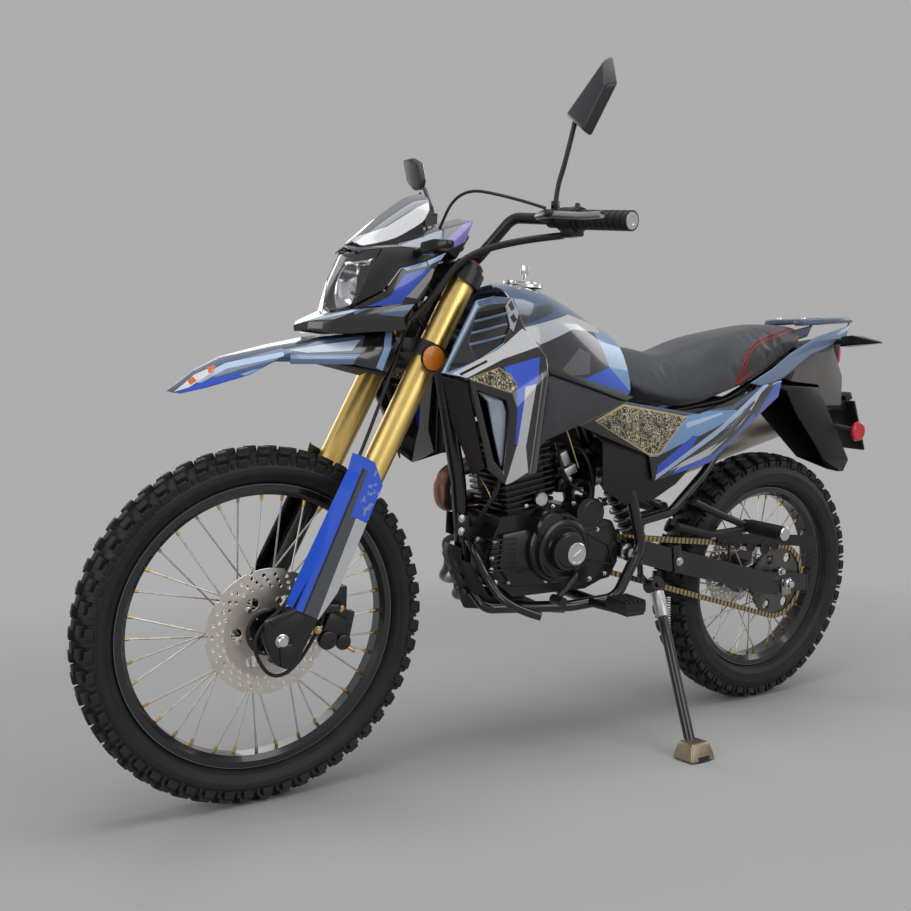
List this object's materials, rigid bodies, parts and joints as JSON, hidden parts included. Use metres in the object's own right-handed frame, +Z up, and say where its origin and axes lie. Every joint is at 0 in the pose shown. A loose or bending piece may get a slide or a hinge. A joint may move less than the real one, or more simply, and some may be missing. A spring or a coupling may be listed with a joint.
{
  "type": "dual sport motorcycle",
  "caption": "Lightweight dual sport motorcycle leaning on its side stand, with knobbly spoked wheels, upside-down fork, high front fender, long seat and a high muffler",
  "frame": {"origin": "on the floor, below the middle of the bounding box of the parked motorcycle", "axes": "+X forward along the bike, +Y to the rider's left (the bike leans to +Y), +Z up"},
  "size_m": [2.1758, 0.83, 1.4798],
  "materials": {
    "bare_alloy": "cast",
    "black_gloss": "gloss black",
    "black_metal": "satin black paint",
    "black_plastic": "moulded black",
    "blue_gloss": "gloss blue",
    "chain_brass": "oiled, brassy",
    "disc_steel": "brushed",
    "engine_black": "black painted casting",
    "gold_fork": "gold anodised",
    "grip_rubber": "ribbed",
    "lamp_clear": "clear",
    "lamp_red": "red lens",
    "mirror_dark": "dark grey",
    "muffler_grey": "dull",
    "rim_black": "black anodised rim with bright spokes",
    "screen_smoke": "smoked",
    "seat_vinyl": "dark vinyl",
    "tyre_rubber": "knobbly black rubber"
  },
  "bodies": {
    "chassis": {"frame": "black_metal", "subframe": "black_metal", "engine": "engine_black", "cylinder": "engine_black", "carburettor": "black_plastic", "exhaust": "muffler_grey", "fuel_tank": "black_gloss", "tank_shrouds": "blue_gloss", "seat": "seat_vinyl", "side_panels": "blue_gloss", "tail_rack": "black_gloss", "tail_light": "lamp_red", "rear_mudguard": "black_plastic", "rear_indicators": "black_plastic", "swingarm": "black_metal", "rear_axle": "bare_alloy", "chain": "chain_brass", "chain_guard": "black_plastic", "rear_shock": "black_metal", "rider_pegs": "black_metal", "foot_levers": "bare_alloy", "passenger_pegs": "black_metal", "stand_bracket": "black_metal"},
    "steering": {"triple_clamps": "black_metal", "fork_uppers": "gold_fork", "fork_lowers": "black_metal", "front_axle": "bare_alloy", "fork_guards": "blue_gloss", "handlebar": "black_metal", "grips": "grip_rubber", "bar_controls": "black_plastic", "mirrors": "mirror_dark", "front_fender": "black_gloss", "headlamp_mask": "black_gloss", "headlamp": "lamp_clear", "windscreen": "screen_smoke", "cluster": "black_plastic", "front_indicators": "black_plastic", "front_caliper": "black_metal"},
    "front_wheel": {"front_tyre": "tyre_rubber", "front_laced_wheel": "rim_black", "front_disc": "disc_steel"},
    "rear_wheel": {"rear_tyre": "tyre_rubber", "rear_laced_wheel": "rim_black", "rear_disc": "disc_steel", "rear_sprocket": "disc_steel"},
    "side_stand": {"side_stand": "black_metal"}
  },
  "joints": [
    {"name": "steering_head", "type": "hinge", "parent": "chassis", "child": "steering", "pos_m": [0.36599, -0.0219, 0.94154], "axis": [-0.4462, 0.0982, 0.8895], "range_deg": [-40, 40]},
    {"name": "front_wheel_spin", "type": "hinge", "parent": "steering", "child": "front_wheel", "pos_m": [0.738, -0.08738, 0.34844], "axis": [0, 0.994, -0.1097], "continuous": true},
    {"name": "rear_wheel_spin", "type": "hinge", "parent": "chassis", "child": "rear_wheel", "pos_m": [-0.658, -0.08958, 0.32856], "axis": [0, 0.994, -0.1097], "continuous": true},
    {"name": "side_stand_fold", "type": "hinge", "parent": "chassis", "child": "side_stand", "pos_m": [-0.183, 0.04226, 0.35626], "axis": [0, 0.9627, 0.2706], "range_deg": [0, 97]}
  ]
}
